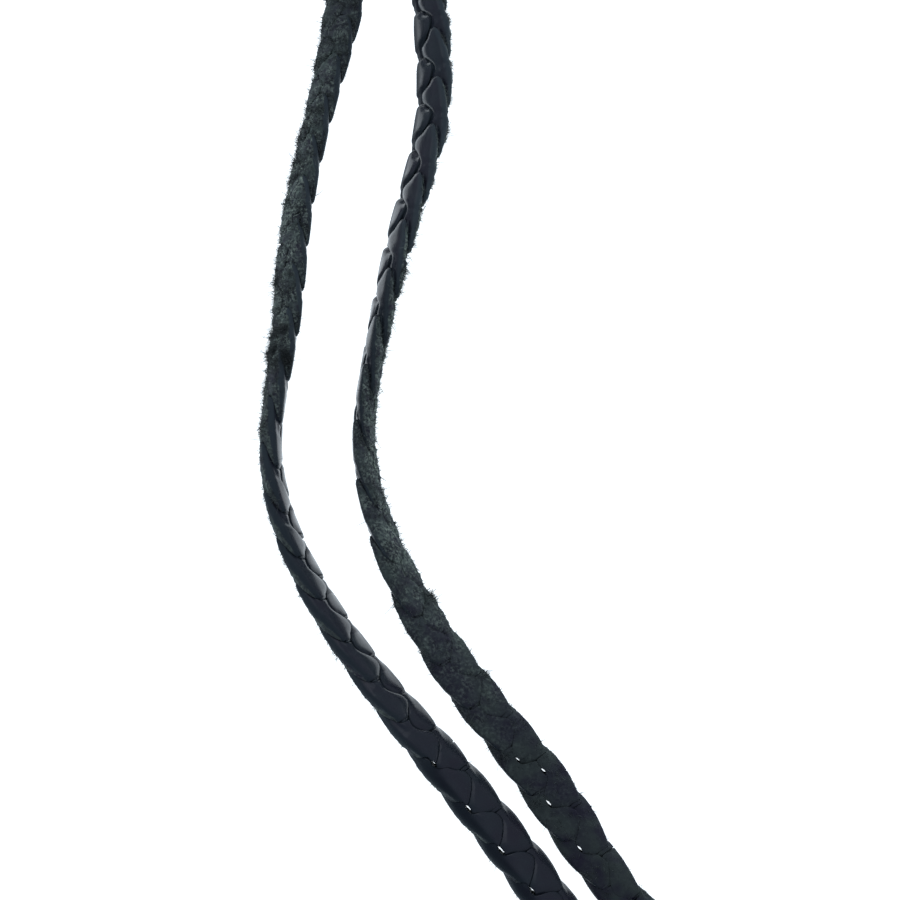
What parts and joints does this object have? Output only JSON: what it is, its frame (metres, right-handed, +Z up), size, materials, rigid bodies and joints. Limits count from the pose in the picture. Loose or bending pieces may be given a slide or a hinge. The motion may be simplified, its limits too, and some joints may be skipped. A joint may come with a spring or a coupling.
{
  "type": "leather cord necklace",
  "caption": "Necklace of flat braided dark leather laces, laid loosely as a long loop and closed by a plain barrel clasp; worn round the neck, bare or with a pendant.",
  "frame": {"origin": "middle of the laid necklace's outline, on the surface that it lies on", "axes": "+Z up from the surface, +Y along the laid necklace towards the clasp, +X across it"},
  "size_m": [0.0817, 0.2195, 0.0074],
  "materials": {
    "leather": "blue-black smooth grain on one face of each lace, green-grey napped flesh on the other",
    "clasp_metal": "plain satin steel"
  },
  "bodies": {
    "root": {"lace_one": "leather", "lace_two": "leather", "lace_three": "leather", "clasp": "clasp_metal"}
  },
  "joints": []
}
